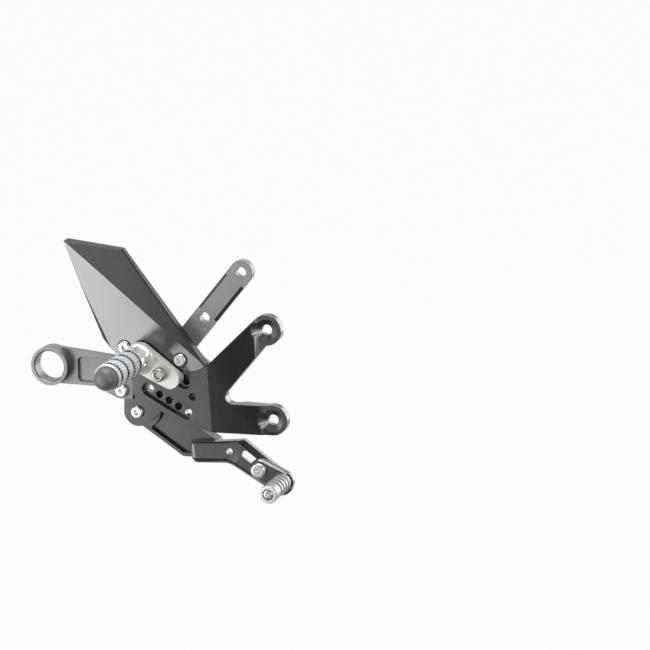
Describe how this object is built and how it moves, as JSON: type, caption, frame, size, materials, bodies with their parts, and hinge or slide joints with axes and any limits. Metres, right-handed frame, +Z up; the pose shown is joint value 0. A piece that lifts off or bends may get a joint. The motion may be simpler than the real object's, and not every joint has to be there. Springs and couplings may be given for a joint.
{
  "type": "rear sets footrest",
  "caption": "Bolt-on motorcycle footrest bracket for the brake side, with a folding grooved peg, heel guard, silencer hanger, brake lever with a sliding toe peg and a master cylinder arm.",
  "frame": {"origin": "on the mounting face, halfway between the two frame bolts", "axes": "+X to the front of the motorcycle, -Y outward from the frame, +Z up"},
  "size_m": [0.222, 0.122, 0.2005],
  "materials": {
    "black_alloy": "black anodised, satin",
    "silver_alloy": "bright anodised",
    "steel": "bright",
    "black_plastic": "gloss",
    "bronze": "plain"
  },
  "bodies": {
    "bracket": {"main_bracket": "black_alloy", "heel_guard": "black_alloy", "heel_guard_screws": "steel", "hanger_arm": "black_alloy", "hanger_screws": "steel", "peg_carrier": "silver_alloy", "carrier_screw": "steel", "peg_hinge_pin": "steel", "hinge_pin_clip": "steel", "lever_thrust_washers": "steel", "lever_pivot_bolt": "steel", "lever_pivot_nut": "steel", "master_cylinder_bracket": "black_alloy", "master_cylinder_bracket_screws": "steel"},
    "peg": {"foot_peg": "silver_alloy", "peg_end_slider": "black_plastic"},
    "lever": {"brake_lever": "black_alloy", "lever_pivot_bush": "bronze", "toe_plate": "black_alloy", "toe_plate_screws": "steel"},
    "toe_clamp": {"toe_clamp_screw": "steel", "toe_clamp_nut": "steel"},
    "toe_arm": {"toe_link": "black_alloy", "toe_peg": "black_alloy", "toe_peg_screw": "steel"}
  },
  "joints": [
    {"name": "peg_fold", "type": "hinge", "parent": "bracket", "child": "peg", "pos_m": [-0.10494, -0.036, 0.01095], "axis": [-0.8829, 0, 0.4695], "range_deg": [0, 75]},
    {"name": "lever_pivot", "type": "hinge", "parent": "bracket", "child": "lever", "pos_m": [-0.111, 0, -0.038], "axis": [0, 1, 0], "range_deg": [0, 12]},
    {"name": "toe_slide", "type": "slide", "parent": "lever", "child": "toe_clamp", "axis": [0.8141, 0, -0.5807], "range_m": [-0.017, 0.007]},
    {"name": "toe_swing", "type": "hinge", "parent": "toe_clamp", "child": "toe_arm", "pos_m": [-0.0059, 0, -0.0766], "axis": [0, 1, 0], "range_deg": [-40, 60]}
  ]
}
